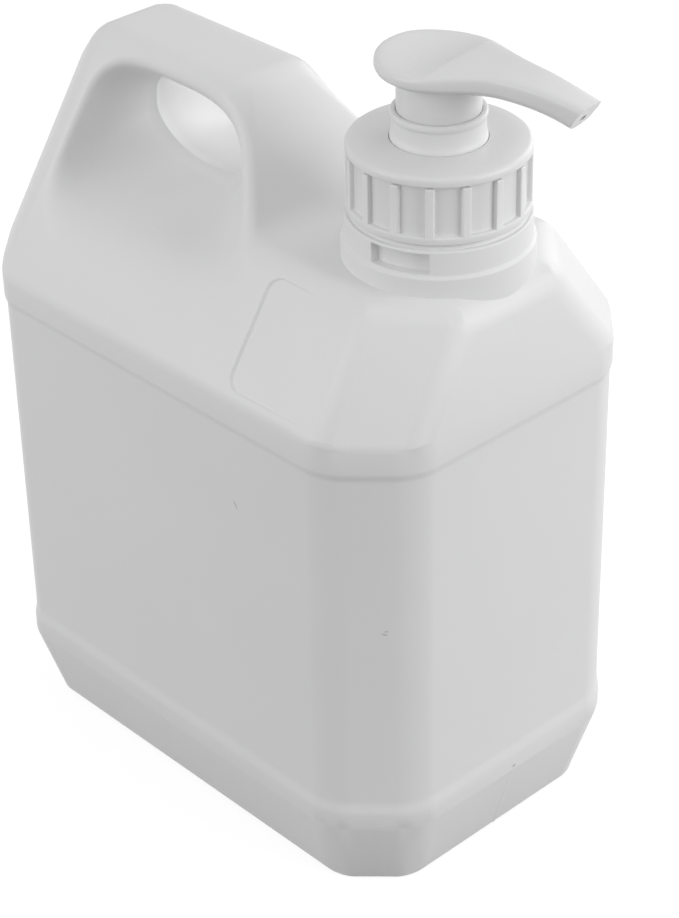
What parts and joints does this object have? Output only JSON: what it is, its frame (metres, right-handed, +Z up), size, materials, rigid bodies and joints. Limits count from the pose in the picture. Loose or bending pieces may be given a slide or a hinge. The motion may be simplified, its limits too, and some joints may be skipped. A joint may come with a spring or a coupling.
{
  "type": "shampoo dispenser jug",
  "caption": "White plastic jug with a moulded carrying handle, chamfered shoulders and a screw-on lotion pump with a curved nozzle.",
  "frame": {"origin": "on the ground under the middle of the whole object's bounding box, a little towards the pump from the middle of the jug's base", "axes": "+X along the jug's long side from the handle to the pump, +Y across it, +Z up along the pump's axis"},
  "size_m": [0.1742, 0.105, 0.227],
  "materials": {
    "jug_plastic": "white moulded polyethylene, satin",
    "gasket_foam": "soft white sealing ring, matt",
    "collar_plastic": "white moulded polypropylene, satin",
    "guide_ring_plastic": "white moulded polypropylene, satin",
    "cylinder_plastic": "natural milky polypropylene",
    "rod_plastic": "white moulded plastic, smooth",
    "piston_plastic": "soft natural polyethylene",
    "seat_plastic": "white moulded plastic, smooth",
    "spring_steel": "drawn stainless wire",
    "ball_steel": "polished stainless ball",
    "tube_plastic": "natural milky polyethylene tube",
    "head_plastic": "white moulded plastic, semi gloss"
  },
  "bodies": {
    "jug": {"jug": "jug_plastic"},
    "pump": {"pump_cylinder": "cylinder_plastic", "guide_ring": "guide_ring_plastic", "neck_gasket": "gasket_foam", "dip_tube": "tube_plastic", "return_spring": "spring_steel"},
    "collar": {"screw_collar": "collar_plastic"},
    "plunger": {"piston_rod": "rod_plastic", "piston": "piston_plastic", "piston_seat": "seat_plastic"},
    "head": {"pump_head": "head_plastic"},
    "ball": {"inlet_ball": "ball_steel"}
  },
  "joints": [
    {"name": "pump_lift", "type": "slide", "parent": "jug", "child": "pump", "axis": [0, 0, 1], "range_m": [0, 0.205]},
    {"name": "collar_turn", "type": "hinge", "parent": "pump", "child": "collar", "pos_m": [0.04227, 0, 0.195], "axis": [0, 0, 1], "continuous": true},
    {"name": "head_press", "type": "slide", "parent": "pump", "child": "plunger", "axis": [0, 0, 1], "range_m": [-0.007, 0], "stiffness_N_per_m": 800, "springref_m": 0.01, "deforming": ["return_spring"]},
    {"name": "head_swivel", "type": "hinge", "parent": "plunger", "child": "head", "pos_m": [0.04227, 0, 0.215], "axis": [0, 0, 1], "continuous": true},
    {"name": "ball_lift", "type": "slide", "parent": "pump", "child": "ball", "axis": [0, 0, 1], "range_m": [0, 0.0012]}
  ]
}
